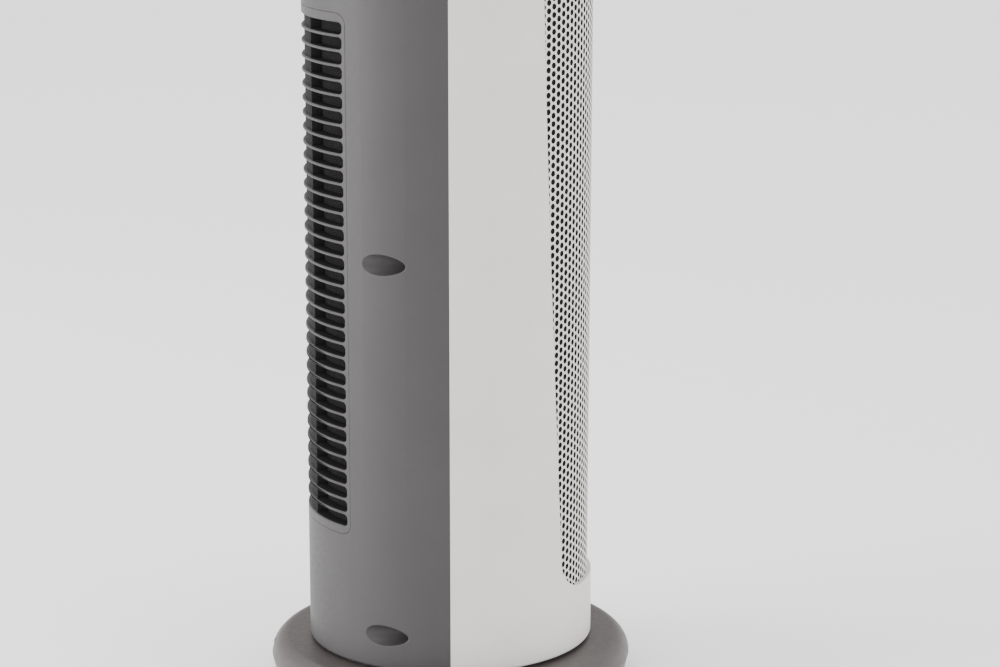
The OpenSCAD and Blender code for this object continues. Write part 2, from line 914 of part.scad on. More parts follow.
// ---------- Electrical pieces ----------

module run_capacitor() {
    color([0.14, 0.14, 0.15])
        translate([18, 26, floor_top]) {
            translate([2, 0, 0]) cube([28, 16, 28]);
            translate([0, 2, 0]) cube([32, 12, 28]);
            for (x = [2, 30], y = [2, 14]) translate([x, y, 0]) cylinder(r = 2, h = 28);
        }
}

module wiring_harness() {
    color([0.1, 0.1, 0.1])
        for (i = [0 : len(wire_route) - 2])
            wire_piece(wire_route[i], wire_route[i + 1]);
}

// Straight stretch of the taped loom, run a little past both ends so that the stretches join
module wire_piece(from, to) {
    d = to - from;
    length = norm(d);
    translate(from)
        rotate([0, acos(d[2] / length), atan2(d[1], d[0])])
            translate([0, 0, -wire_bend]) cylinder(r = wire_r, h = length + 2 * wire_bend, $fn = 12);
}

// ---------- Top of the tower ----------

module carry_pocket() {
    color(grey_shell)
        difference() {
            intersection() {
                along_x(-tower_r, -tower_r + carry_depth)
                    round_window(carry_half_w, carry_z, carry_h, carry_corner);
                translate([0, 0, carry_z]) cylinder(r = tower_r, h = carry_h);
            }
            along_x(-2 * tower_r, -tower_r + carry_depth - carry_t)
                round_window(carry_half_w - carry_t, carry_z + carry_t, carry_h - 2 * carry_t,
                             carry_corner - carry_t);
        }
}

module top_cap() {
    color(warm_white)
        difference() {
            union() {
                rotate_extrude()
                    polygon(concat(
                        [[shell_in - 2.4, shell_top - spigot_h], [shell_in, shell_top - spigot_h],
                            [shell_in, shell_top], [tower_r, shell_top], [tower_r, shell_top + 2]],
                        arc_points(tower_r - cap_round, total_h - cap_round, cap_round, 0, 90, 12),
                        [[panel_r + seat_gap, total_h], [panel_r + seat_gap, panel_seat],
                            [well_r, panel_seat],
                            [well_r, panel_seat - top_t], [tower_r - cap_round, panel_seat - top_t]],
                        arc_points(tower_r - cap_round, total_h - cap_round - 1.4, cap_round - 3, 90, 0, 8),
                        [[shell_in - 2.4, shell_top]]));
                at_board_posts() translate([0, 0, board_z + board_t])
                    cylinder(r = board_post_r, h = panel_seat - board_z - board_t - top_t + 1);
            }
            at_board_posts() translate([0, 0, board_z]) cylinder(r = board_screw_r, h = 7.5);
        }
}

module at_board_posts() {
    for (a = [35, 145, 215, 325])
        rotate([0, 0, a]) translate([well_r + 3, 0, 0]) children();
}

module at_keys() {
    for (i = [0 : 3]) translate([key_x, (i - 1.5) * key_pitch, 0]) children();
}

module key_outline(w, l, corner) {
    translate([0, -l / 2]) round_window(w / 2, 0, l, corner);
}

module control_panel() {
    color([0.09, 0.09, 0.1])
        difference() {
            translate([0, 0, panel_seat]) cylinder(r = panel_r, h = panel_t);
            at_keys()
                translate([0, 0, panel_seat - cut])
                    linear_extrude(panel_t + 2 * cut)
                        key_outline(key_l + 2 * key_gap, key_w + 2 * key_gap, key_corner + key_gap);
            at_lenses() translate([0, 0, panel_seat - cut]) cylinder(r = lens_r, h = panel_t + 2 * cut);
        }
}

module at_lenses() {
    for (i = [0 : 3]) translate([lens_x, (i - 1.5) * key_pitch, 0]) children();
}

// Light pipes from the board's lamps to the panel
module indicator_lenses() {
    color([0.85, 0.9, 0.95])
        at_lenses() {
            translate([0, 0, panel_seat - 2]) cylinder(r = lens_r, h = panel_t + 2);
            translate([0, 0, panel_seat - 2]) cylinder(r = lens_r + 0.8, h = 2);
        }
}

module control_board() {
    color([0.1, 0.3, 0.2])
        difference() {
            translate([0, 0, board_z]) cylinder(r = well_r + board_edge, h = board_t);
            at_board_posts() translate([0, 0, board_z - cut])
                cylinder(r = board_screw_r, h = board_t + 2 * cut);
        }
}

module key_switches() {
    color(dark)
        at_keys() {
            translate([-3, -3, board_z + board_t]) cube([6, 6, switch_h]);
            translate([0, 0, board_z + board_t]) cylinder(r = 1.75, h = switch_h + plunger_h);
        }
}

module board_screws() {
    color(steel)
        at_board_posts() {
            translate([0, 0, board_z - 1.8]) cylinder(r = 2.4, h = 1.8);
            translate([0, 0, board_z - 1]) cylinder(r = board_screw_r, h = 8);
        }
}

// A key: face, flange under the panel, stem down to its switch
module key_solid() {
    stem_low = board_z + board_t + switch_h + plunger_h + key_travel + face_gap;
    flange_low = panel_seat - face_gap - key_flange;
    translate([0, 0, flange_low])
        linear_extrude(key_flange) key_outline(key_l + 2, key_w + 2, key_corner + 1);
    translate([0, 0, flange_low])
        linear_extrude(total_h - flange_low) key_outline(key_l, key_w, key_corner);
    translate([0, 0, stem_low]) cylinder(r = 2, h = flange_low - stem_low + 0.5);
}

module key_at(i) {
    color([0.3, 0.3, 0.31]) translate([key_x, (i - 1.5) * key_pitch, 0]) key_solid();
}

module power_key() { key_at(0); }

module speed_key() { key_at(1); }

module swing_key() { key_at(2); }

module timer_key() { key_at(3); }

base_cover();
base_plate();
rubber_feet();
base_screws();
cable_gland();
glide_ring();
tower_floor();
retaining_washer();
pivot_screws();
front_shell();
rear_shell();
shell_screws();
rear_grille();
front_screen();
inlet_filter();
scroll_wall();
vortex_wall();
lower_bulkhead();
upper_bulkhead();
motor_stator();
motor_windings();
motor_upper_cap();
motor_lower_cap();
motor_screws();
shaft_bushes();
upper_bush();
bush_seat();
swing_motor();
swing_motor_screws();
run_capacitor();
wiring_harness();
carry_pocket();
top_cap();
control_panel();
indicator_lenses();
control_board();
key_switches();
board_screws();
crank_arm();
crank_pin();
impeller();
hub_screw();
motor_rotor();
motor_shaft();
power_key();
speed_key();
swing_key();
timer_key();
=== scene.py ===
"""Looks of the tower fan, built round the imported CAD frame. Lengths are in metres."""
import json
import math

import bmesh
import bpy
import numpy as np
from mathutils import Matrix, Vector


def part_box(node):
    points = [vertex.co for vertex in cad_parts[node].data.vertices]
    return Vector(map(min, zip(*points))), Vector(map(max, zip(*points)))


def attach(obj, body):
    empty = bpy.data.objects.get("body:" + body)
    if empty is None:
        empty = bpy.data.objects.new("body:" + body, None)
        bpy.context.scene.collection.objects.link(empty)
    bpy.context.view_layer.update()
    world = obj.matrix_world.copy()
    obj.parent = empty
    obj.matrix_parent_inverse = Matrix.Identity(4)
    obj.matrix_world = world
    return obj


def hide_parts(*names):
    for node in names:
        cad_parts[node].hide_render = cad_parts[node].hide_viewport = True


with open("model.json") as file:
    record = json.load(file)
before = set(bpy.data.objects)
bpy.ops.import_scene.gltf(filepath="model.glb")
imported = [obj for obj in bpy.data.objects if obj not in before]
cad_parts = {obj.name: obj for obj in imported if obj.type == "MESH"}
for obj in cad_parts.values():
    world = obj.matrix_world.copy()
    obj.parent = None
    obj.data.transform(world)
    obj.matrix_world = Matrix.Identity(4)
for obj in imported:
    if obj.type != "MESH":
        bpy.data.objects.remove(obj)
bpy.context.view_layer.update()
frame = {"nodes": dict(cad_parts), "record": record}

MM = 0.001
NODES = frame["nodes"]

# ---------- Sizes read from the frame ----------

TOWER_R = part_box("front_shell")[1].x
SCREEN_LOW, SCREEN_HIGH = (corner.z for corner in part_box("front_screen"))


# ---------- Material kit ----------

BEVEL_SAMPLES = 6

# Noise scales, in waves to a metre.
PAPER_CLOUDS = 3
MOULD_CLOUDS = 35
PAINT_CLOUDS = 60
METAL_PATCHES = 120
LINT = 240
GLOSS_PEEL = 260
RUST = 300
MOULD_GLOSS = 420
RUBBER_DUST = 500
BOARD_GLOSS = 700
PAINT_PEEL = 900
LENS_HAZE = 900
GLOSS_DUST = 1500
RUBBER_SKIN = 1800
MOULD_GRAIN = 2600

# Scales of the regular patterns.
BOARD_TRACKS = 180
MESH_THREADS = 260
MOTOR_SHEETS = 320
WIRE_TURNS = 420


def new_material(name):
    """A material with an empty tree: returns it, its tree and its Principled shader."""
    mat = bpy.data.materials.new(name)
    mat.use_nodes = True
    tree = mat.node_tree
    tree.nodes.clear()
    out = tree.nodes.new("ShaderNodeOutputMaterial")
    shader = tree.nodes.new("ShaderNodeBsdfPrincipled")
    tree.links.new(shader.outputs["BSDF"], out.inputs["Surface"])
    return mat, tree, shader


def place_coords(tree):
    """Object coordinates in metres."""
    return tree.nodes.new("ShaderNodeTexCoord").outputs["Object"]


def noise(tree, coords, per_metre, detail=3.0, rough=0.55):
    """Value of a noise texture at the coordinates."""
    node = tree.nodes.new("ShaderNodeTexNoise")
    node.inputs["Scale"].default_value = per_metre
    node.inputs["Detail"].default_value = detail
    node.inputs["Roughness"].default_value = rough
    tree.links.new(coords, node.inputs["Vector"])
    return node.outputs["Fac"]


def spread(tree, value, low, high, from_low=0.3, from_high=0.7):
    """Maps a texture's value to the range low to high."""
    node = tree.nodes.new("ShaderNodeMapRange")
    node.inputs["From Min"].default_value = from_low
    node.inputs["From Max"].default_value = from_high
    node.inputs["To Min"].default_value = low
    node.inputs["To Max"].default_value = high
    tree.links.new(value, node.inputs["Value"])
    return node.outputs["Result"]


def blend_colours(tree, share, first, second):
    """Colour between the first, at a share of zero, and the second, at one."""
    node = tree.nodes.new("ShaderNodeMix")
    node.data_type = "RGBA"
    node.inputs["A"].default_value = (*first, 1)
    node.inputs["B"].default_value = (*second, 1)
    tree.links.new(share, node.inputs["Factor"])
    return node.outputs["Result"]


def scaled(colour, share):
    """The colour made lighter or darker, with no channel over one."""
    return tuple(min(1.0, c * share) for c in colour)


def add_bump(tree, height, distance, normal=None):
    """Normal that follows a height of the given distance, on top of another normal."""
    node = tree.nodes.new("ShaderNodeBump")
    node.inputs["Strength"].default_value = 1.0
    node.inputs["Distance"].default_value = distance
    tree.links.new(height, node.inputs["Height"])
    if normal is not None:
        tree.links.new(normal, node.inputs["Normal"])
    return node.outputs["Normal"]


def soft_edges(tree, radius):
    """Rounds sharp edges in shading, as a mould's radius does."""
    node = tree.nodes.new("ShaderNodeBevel")
    node.samples = BEVEL_SAMPLES
    node.inputs["Radius"].default_value = radius
    return node.outputs["Normal"]


# ---------- Materials ----------

def moulded_plastic(name, colour, rough, grain=0.012 * MM, edge=0.25 * MM, specular=0.5):
    """Spark-eroded moulding: fine grain, faint clouding, slightly uneven gloss."""
    mat, tree, shader = new_material(name)
    coords = place_coords(tree)
    cloud = noise(tree, coords, MOULD_CLOUDS, detail=4)
    fine = noise(tree, coords, MOULD_GRAIN, detail=2, rough=0.7)
    tree.links.new(
        blend_colours(tree, spread(tree, cloud, 0, 1), scaled(colour, 0.96), scaled(colour, 1.03)),
        shader.inputs["Base Color"])
    gloss = noise(tree, coords, MOULD_GLOSS)
    tree.links.new(spread(tree, gloss, rough - 0.05, rough + 0.05), shader.inputs["Roughness"])
    normal = add_bump(tree, fine, grain, normal=soft_edges(tree, edge))
    tree.links.new(normal, shader.inputs["Normal"])
    shader.inputs["IOR"].default_value = 1.49
    shader.inputs["Specular IOR Level"].default_value = specular
    return mat


def gloss_plastic(name, colour, rough=0.12):
    """Polished moulding with a faint orange peel and dust in the gloss."""
    mat, tree, shader = new_material(name)
    coords = place_coords(tree)
    peel = noise(tree, coords, GLOSS_PEEL, detail=1)
    dust = noise(tree, coords, GLOSS_DUST, detail=4, rough=0.75)
    tree.links.new(
        blend_colours(tree, spread(tree, dust, 0, 1, 0.55, 0.8), colour, scaled(colour, 1.25)),
        shader.inputs["Base Color"])
    tree.links.new(spread(tree, dust, rough, rough + 0.12, 0.45, 0.8), shader.inputs["Roughness"])
    normal = add_bump(tree, peel, 0.006 * MM, normal=soft_edges(tree, 0.2 * MM))
    tree.links.new(normal, shader.inputs["Normal"])
    shader.inputs["Coat Weight"].default_value = 0.4
    shader.inputs["Coat Roughness"].default_value = 0.06
    return mat


def powder_coat(name, colour, rough=0.42):
    """Baked paint on sheet steel: fine orange peel."""
    mat, tree, shader = new_material(name)
    coords = place_coords(tree)
    peel = noise(tree, coords, PAINT_PEEL, detail=2)
    cloud = noise(tree, coords, PAINT_CLOUDS)
    tree.links.new(
        blend_colours(tree, spread(tree, cloud, 0, 1), scaled(colour, 0.97), scaled(colour, 1.02)),
        shader.inputs["Base Color"])
    tree.links.new(spread(tree, peel, rough - 0.06, rough + 0.06), shader.inputs["Roughness"])
    tree.links.new(add_bump(tree, peel, 0.01 * MM), shader.inputs["Normal"])
    shader.inputs["Coat Weight"].default_value = 0.15
    shader.inputs["Coat Roughness"].default_value = 0.25
    return mat


def woven_mesh(name, colour):
    """Fine woven plastic threads, over and under each other."""
    mat, tree, shader = new_material(name)
    coords = place_coords(tree)
    heights = []
    for direction in ("Z", "Y"):
        threads = tree.nodes.new("ShaderNodeTexWave")
        threads.bands_direction = direction
        threads.inputs["Scale"].default_value = MESH_THREADS
        threads.inputs["Distortion"].default_value = 0.4
        tree.links.new(coords, threads.inputs["Vector"])
        heights.append(threads.outputs["Fac"])
    weave = tree.nodes.new("ShaderNodeMath")
    weave.operation = "MAXIMUM"
    for socket, height in zip(weave.inputs, heights):
        tree.links.new(height, socket)
    lint = noise(tree, coords, LINT, detail=5, rough=0.7)
    tree.links.new(
        blend_colours(tree, spread(tree, lint, 0, 1, 0.5, 0.8), colour, scaled(colour, 2.5)),
        shader.inputs["Base Color"])
    height = weave.outputs["Value"]
    tree.links.new(spread(tree, height, 0.95, 0.8, 0, 1), shader.inputs["Roughness"])
    tree.links.new(add_bump(tree, height, 0.2 * MM), shader.inputs["Normal"])
    shader.inputs["Specular IOR Level"].default_value = 0.15
    return mat


def rubber(name, colour):
    """Dull rubber with dust on it."""
    mat, tree, shader = new_material(name)
    coords = place_coords(tree)
    dust = noise(tree, coords, RUBBER_DUST, detail=5, rough=0.7)
    tree.links.new(
        blend_colours(tree, spread(tree, dust, 0, 1, 0.5, 0.8), colour, scaled(colour, 1.8)),
        shader.inputs["Base Color"])
    tree.links.new(spread(tree, dust, 0.7, 0.9), shader.inputs["Roughness"])
    skin = noise(tree, coords, RUBBER_SKIN)
    normal = add_bump(tree, skin, 0.03 * MM, normal=soft_edges(tree, 0.3 * MM))
    tree.links.new(normal, shader.inputs["Normal"])
    return mat


def metal(name, colour, rough, grains=900, depth=0.006 * MM):
    """Turned, cast or sintered metal: fine grain and dull patches."""
    mat, tree, shader = new_material(name)
    coords = place_coords(tree)
    grain = noise(tree, coords, grains, detail=4, rough=0.6)
    patches = noise(tree, coords, METAL_PATCHES, detail=4)
    tree.links.new(
        blend_colours(tree, spread(tree, patches, 0, 1), scaled(colour, 0.9), colour),
        shader.inputs["Base Color"])
    tree.links.new(spread(tree, grain, rough - 0.07, rough + 0.1), shader.inputs["Roughness"])
    normal = add_bump(tree, grain, depth, normal=soft_edges(tree, 0.12 * MM))
    tree.links.new(normal, shader.inputs["Normal"])
    shader.inputs["Metallic"].default_value = 1.0
    return mat


def lamination_steel(name):
    """Stack of thin steel sheets, seen as fine level lines."""
    mat, tree, shader = new_material(name)
    coords = place_coords(tree)
    sheets = tree.nodes.new("ShaderNodeTexWave")
    sheets.bands_direction = "Z"
    sheets.inputs["Scale"].default_value = MOTOR_SHEETS
    sheets.inputs["Distortion"].default_value = 0.3
    tree.links.new(coords, sheets.inputs["Vector"])
    rust = noise(tree, coords, RUST, detail=5, rough=0.7)
    rusty = spread(tree, rust, 0, 1, 0.45, 0.75)
    tree.links.new(
        blend_colours(tree, rusty, (0.42, 0.42, 0.43), (0.30, 0.27, 0.25)),
        shader.inputs["Base Color"])
    tree.links.new(spread(tree, rust, 0.35, 0.6), shader.inputs["Roughness"])
    tree.links.new(add_bump(tree, sheets.outputs["Fac"], 0.06 * MM), shader.inputs["Normal"])
    shader.inputs["Metallic"].default_value = 0.9
    return mat


def copper_winding(name):
    """Varnished wire wound round the stator."""
    mat, tree, shader = new_material(name)
    coords = place_coords(tree)
    turns = tree.nodes.new("ShaderNodeTexWave")
    turns.wave_type = "RINGS"
    turns.rings_direction = "Z"
    turns.inputs["Scale"].default_value = WIRE_TURNS
    turns.inputs["Distortion"].default_value = 1.5
    turns.inputs["Detail"].default_value = 2
    tree.links.new(coords, turns.inputs["Vector"])
    # The colour follows the same waves as the bump: darker in the grooves between turns, painted
    # shade.
    tree.links.new(
        blend_colours(tree, turns.outputs["Fac"], (0.35, 0.13, 0.04), (0.80, 0.38, 0.15)),
        shader.inputs["Base Color"])
    tree.links.new(spread(tree, turns.outputs["Fac"], 0.4, 0.22, 0, 1), shader.inputs["Roughness"])
    tree.links.new(add_bump(tree, turns.outputs["Fac"], 0.15 * MM), shader.inputs["Normal"])
    shader.inputs["Metallic"].default_value = 0.85
    shader.inputs["Coat Weight"].default_value = 0.5
    return mat


def circuit_board(name):
    """Green solder resist over copper tracks."""
    mat, tree, shader = new_material(name)
    coords = place_coords(tree)
    tracks = tree.nodes.new("ShaderNodeTexBrick")
    tracks.inputs["Scale"].default_value = BOARD_TRACKS
    tracks.inputs["Color1"].default_value = (0.02, 0.16, 0.08, 1)
    tracks.inputs["Color2"].default_value = (0.03, 0.20, 0.10, 1)
    tracks.inputs["Mortar"].default_value = (0.05, 0.30, 0.15, 1)
    tracks.inputs["Mortar Size"].default_value = 0.06
    tree.links.new(coords, tracks.inputs["Vector"])
    tree.links.new(tracks.outputs["Color"], shader.inputs["Base Color"])
    gloss = noise(tree, coords, BOARD_GLOSS)
    tree.links.new(spread(tree, gloss, 0.25, 0.4), shader.inputs["Roughness"])
    tree.links.new(add_bump(tree, tracks.outputs["Fac"], 0.04 * MM), shader.inputs["Normal"])
    shader.inputs["Coat Weight"].default_value = 0.3
    return mat


def clear_lens(name):
    """Clear plastic with a faint haze."""
    mat, tree, shader = new_material(name)
    coords = place_coords(tree)
    haze = noise(tree, coords, LENS_HAZE, detail=3)
    tree.links.new(spread(tree, haze, 0.12, 0.3), shader.inputs["Roughness"])
    tree.links.new(
        blend_colours(tree, haze, (0.78, 0.86, 0.92), (0.92, 0.96, 1.0)),
        shader.inputs["Base Color"])
    tree.links.new(add_bump(tree, haze, 0.01 * MM), shader.inputs["Normal"])
    shader.inputs["Transmission Weight"].default_value = 0.7
    return mat


FRONT = (0.62, 0.605, 0.575)
REAR = (0.050, 0.047, 0.0475)
BASE = (0.046, 0.0385, 0.036)
BLACK = (0.022, 0.022, 0.024)
# Near-black for faces deep in the louvre slots: painted shade on the ribs' sides, and the dark
# spine behind them.
SLOT_PAINTED_SHADE = (0.012, 0.012, 0.012)

# One for each slot of the record, and two with painted shade for faces deep in the louvre slots
# and behind the screen's front face.
MATERIALS = {
    "front_plastic": moulded_plastic("front_plastic", FRONT, 0.45),
    "rear_plastic": moulded_plastic("rear_plastic", REAR, 0.5, edge=0.45 * MM, specular=0.3),
    "louvre_painted_shade": moulded_plastic("louvre_painted_shade", SLOT_PAINTED_SHADE, 0.8, specular=0.1),
    "filter_mesh": woven_mesh("filter_mesh", (0.006, 0.006, 0.006)),
    "base_plastic": moulded_plastic("base_plastic", BASE, 0.42),
    "black_plastic": moulded_plastic("black_plastic", BLACK, 0.55, grain=0.02 * MM),
    "impeller_plastic": moulded_plastic("impeller_plastic", (0.03, 0.03, 0.032), 0.45),
    "slide_plastic": moulded_plastic("slide_plastic", (0.70, 0.69, 0.66), 0.35),
    "key_plastic": moulded_plastic("key_plastic", (0.075, 0.075, 0.078), 0.4, edge=0.4 * MM),
    "wire_pvc": moulded_plastic("wire_pvc", (0.02, 0.02, 0.021), 0.35),
    "foot_rubber": rubber("foot_rubber", (0.018, 0.018, 0.018)),
    "screen_paint": powder_coat("screen_paint", (0.60, 0.585, 0.555)),
    # Dark paint for the sheet's back and hole walls: painted shade for the dim inside of the
    # tower.
    "screen_painted_shade": powder_coat("screen_painted_shade", (0.055, 0.054, 0.052), 0.6),
    "screw_steel": metal("screw_steel", (0.60, 0.59, 0.57), 0.3),
    "motor_steel": lamination_steel("motor_steel"),
    "motor_cast": metal("motor_cast", (0.56, 0.56, 0.57), 0.45, grains=500, depth=0.05 * MM),
    "winding_copper": copper_winding("winding_copper"),
    "bush_bronze": metal("bush_bronze", (0.55, 0.38, 0.20), 0.4, grains=1600, depth=0.02 * MM),
    "panel_gloss": gloss_plastic("panel_gloss", (0.012, 0.012, 0.014)),
    "lens_clear": clear_lens("lens_clear"),
    "board_green": circuit_board("board_green"),
}

# Faces deeper than this below the shell's surface get the painted shade.
SLOT_SHADOW_DEPTH = 1.2 * MM


def dress_cad_nodes():
    """Gives each CAD node the material of its slot in the record."""
    for part in frame["record"]["subparts"]:
        mesh = NODES[part["node"]].data
        mesh.materials.clear()
        mesh.materials.append(MATERIALS[part["material_slot"]])


def paint_shade_in_louvre_slots():
    """Leaves the shell's colour on the frame and the ribs' noses; what lies deeper is painted
    near-black, partly as the dark spine behind the ribs and partly as painted shade on the ribs'
    sides in the slots.
    """
    mesh = NODES["rear_grille"].data
    mesh.materials.append(MATERIALS["louvre_painted_shade"])
    for face in mesh.polygons:
        depth = TOWER_R - math.hypot(face.center.x, face.center.y)
        face.material_index = int(depth > SLOT_SHADOW_DEPTH)


# ---------- Mesh kit ----------

SMOOTH_DEG = 35
SCREEN_SMOOTH_DEG = 30


def turn_faces_outwards(mesh):
    """Makes the normals of a closed mesh point out."""
    shape = bmesh.new()
    shape.from_mesh(mesh)
    bmesh.ops.recalc_face_normals(shape, faces=shape.faces)
    shape.to_mesh(mesh)
    shape.free()
    mesh.update()


def piece(name, points, faces, slot, body, smooth_deg=SMOOTH_DEG):
    """A mesh piece that rides on a body and takes its finish from a slot."""
    mesh = bpy.data.meshes.new(name)
    mesh.from_pydata([tuple(p) for p in points], [], [tuple(f) for f in faces])
    mesh.validate()
    turn_faces_outwards(mesh)
    obj = bpy.data.objects.new(name, mesh)
    bpy.context.scene.collection.objects.link(obj)
    mesh.materials.append(MATERIALS[slot])
    mesh.polygons.foreach_set("use_smooth", [True] * len(mesh.polygons))
    mesh.set_sharp_from_angle(angle=math.radians(smooth_deg))
    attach(obj, body)
    return obj


# ---------- Perforated screen ----------

# The sheet. CELL_POINTS puts a point at each corner and each mid-side of a six-sided cell.
HOLE_PITCH = 3.9 * MM
HOLE_R = 1.45 * MM
RIM = 0.08 * MM
SHEET_T = 0.5 * MM
CELL_POINTS = 12
EDGE_MARGIN = 0.4 * MM
END_MARGIN = 1 * MM
HALF_SPAN_DEG = 63

# The dark sheet behind it: painted shade for the tower's inside, seen through the holes.
SHADE_SHEET_GAP = 0.05 * MM
SHADE_SHEET_T = 0.2 * MM
SHADE_SHEET_ROWS = 90
SHADE_SHEET_COLUMNS = 60
SHADE_SHEET_END_MARGIN = 2 * MM


def cad_screen_outline():
    """The CAD sheet's outer radius at its two ends, and its half width at rising heights."""
    verts = np.array([v.co for v in NODES["front_screen"].data.vertices])
    reach = np.hypot(verts[:, 0], verts[:, 1])
    near_end = 2 * MM
    r_low = reach[verts[:, 2] < SCREEN_LOW + near_end].max()
    r_high = reach[verts[:, 2] > SCREEN_HIGH - near_end].max()
    hull = []
    for z, y in sorted((float(v[2]), float(v[1])) for v in verts):
        while len(hull) > 1 and bends_in(hull[-2], hull[-1], (z, y)):
            hull.pop()
        hull.append((z, y))
    return r_low, r_high, [z for z, y in hull], [y for z, y in hull]


def bends_in(a, b, c):
    """True if the path from a to c turns inwards at b, or doesn't turn."""
    return (b[0] - a[0]) * (c[1] - a[1]) - (b[1] - a[1]) * (c[0] - a[0]) >= 0


def perforated_screen():
    """Sheet metal on a cone, as six-sided cells with a round hole in each."""
    r_low, r_high, heights, widths = cad_screen_outline()
    low, high = SCREEN_LOW + END_MARGIN, SCREEN_HIGH - END_MARGIN
    mean_r = (r_low + r_high) / 2
    column = HOLE_PITCH * math.sqrt(3) / 2
    corner = HOLE_PITCH / math.sqrt(3)
    points, index, faces = [], {}, []

    def add(s, z, depth):
        """Number of the point at s along the arc and depth behind the face, made once."""
        key = (round(s / MM, 3), round(z / MM, 3), round(depth / MM, 3))
        if key not in index:
            r = r_low + (r_high - r_low) * (z - low) / (high - low) - depth
            index[key] = len(points)
            points.append((r * math.cos(s / mean_r), r * math.sin(s / mean_r), z))
        return index[key]

    def ring(s, z, r, depth, six_sided=False):
        """Point numbers round a circle, or round the hexagon whose corners lie on it."""
        found = []
        for k in range(CELL_POINTS):
            a = 2 * math.pi * k / CELL_POINTS
            reach = r * math.cos(math.pi / 6) if six_sided and k % 2 else r
            found.append(add(s + reach * math.cos(a), z + reach * math.sin(a), depth))
        return found

    columns = int(mean_r * math.radians(HALF_SPAN_DEG) / column)
    rows = int((high - low) / HOLE_PITCH) + 1
    for i in range(-columns, columns + 1):
        for j in range(rows):
            s = i * column
            z = low + corner + (j + (0.5 if i % 2 else 0)) * HOLE_PITCH
            half_width = np.interp(z, heights, widths) - EDGE_MARGIN
            reach = abs(mean_r * math.sin(s / mean_r)) + corner
            if z > high - corner or reach > half_width:
                continue
            rings = [
                ring(s, z, corner, 0, True),
                ring(s, z, HOLE_R + RIM, 0),
                ring(s, z, HOLE_R, RIM),
                ring(s, z, HOLE_R, SHEET_T - RIM),
                ring(s, z, HOLE_R + RIM, SHEET_T),
                ring(s, z, corner, SHEET_T, True),
            ]
            for a, b in zip(rings, rings[1:]):
                for k in range(CELL_POINTS):
                    n = (k + 1) % CELL_POINTS
                    faces.append((a[k], a[n], b[n], b[k]))

    faces += border_faces(faces, index)
    screen = piece("perforated_screen", points, faces, "screen_paint", "tower", SCREEN_SMOOTH_DEG)
    # Faces behind the front face, the back and the hole walls, take the dark painted shade.
    screen.data.materials.append(MATERIALS["screen_painted_shade"])
    depths = {number: depth for (s, z, depth), number in index.items()}
    for polygon in screen.data.polygons:
        polygon.material_index = int(min(depths[v] for v in polygon.vertices) > 0)
    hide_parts("front_screen")


def screen_shade_sheet():
    """Fine dark mesh on the back of the sheet, within the thickness of the CAD sheet: a dark sheet
    put there as painted shade for the tower's inside, seen through the holes.
    """
    r_low, r_high, heights, widths = cad_screen_outline()
    low, high = SCREEN_LOW + SHADE_SHEET_END_MARGIN, SCREEN_HIGH - SHADE_SHEET_END_MARGIN
    points = []
    for depth in (SHEET_T + SHADE_SHEET_GAP, SHEET_T + SHADE_SHEET_GAP + SHADE_SHEET_T):
        for row in range(SHADE_SHEET_ROWS + 1):
            share = row / SHADE_SHEET_ROWS
            z = low + (high - low) * share
            r = r_low + (r_high - r_low) * share - depth
            end = math.asin((np.interp(z, heights, widths) - HOLE_PITCH / 2) / r)
            for column in range(SHADE_SHEET_COLUMNS + 1):
                a = end * (2 * column / SHADE_SHEET_COLUMNS - 1)
                points.append((r * math.cos(a), r * math.sin(a), z))
    across = SHADE_SHEET_COLUMNS + 1
    layer = across * (SHADE_SHEET_ROWS + 1)
    front = []
    for row in range(SHADE_SHEET_ROWS):
        start = row * across
        front += [(k, k + 1, k + 1 + across, k + across)
                  for k in range(start, start + SHADE_SHEET_COLUMNS)]
    back = [tuple(k + layer for k in reversed(face)) for face in front]
    edges = {(a, b) for f in front for a, b in zip(f, f[1:] + f[:1])}
    border = [(b, a, a + layer, b + layer) for a, b in sorted(edges) if (b, a) not in edges]
    piece("screen_shade_sheet", points, front + back + border, "filter_mesh", "tower")


def border_faces(faces, index):
    """Wall round the sheet's edge, from the front edges that only one face uses."""
    back_of = {number: index.get((s, z, round(SHEET_T / MM, 3)))
               for (s, z, depth), number in index.items() if depth == 0}
    edges = {(a, b) for f in faces for a, b in zip(f, f[1:] + f[:1])}
    return [(b, a, back_of[a], back_of[b]) for a, b in sorted(edges)
            if (b, a) not in edges and a in back_of and b in back_of]


# ---------- Screws with a cross recess ----------

RING_POINTS = 24
HEAD_H = 2.2 * MM

# Vertices closer than this to a screw's first vertex belong to that screw.
SCREW_REACH = 12 * MM

# Reach and half width of the cross, as shares of the head's radius, and its depth and mouth,
# as shares of the head's height.
RECESS_FLOOR = (0.46, 0.10)
RECESS_MOUTH = (0.62, 0.16)
RECESS_DEPTH = 0.62
MOUTH_UP = 0.99

# Radius and height of the head's rings down to the seat, as shares.
HEAD_PROFILE = ((0.80, 0.90), (0.94, 0.66), (1, 0.38), (1, 0.06), (0.97, 0))


def circle(r):
    """Points on a circle, starting between two arms of a cross."""
    angles = [2 * math.pi * k / RING_POINTS - math.pi / 4 for k in range(RING_POINTS)]
    return [(r * math.cos(a), r * math.sin(a)) for a in angles]


def cross(reach, half):
    """Outline of a cross with the same number of points as a circle."""
    points = []
    for k in range(4):
        dx, dy = round(math.cos(k * math.pi / 2)), round(math.sin(k * math.pi / 2))
        middle_out = (reach + half) / 2
        for out, across in ((half, -half), (middle_out, -half), (reach, -half),
                            (reach, 0), (reach, half), (middle_out, half)):
            points.append((dx * out - dy * across, dy * out + dx * across))
    return points


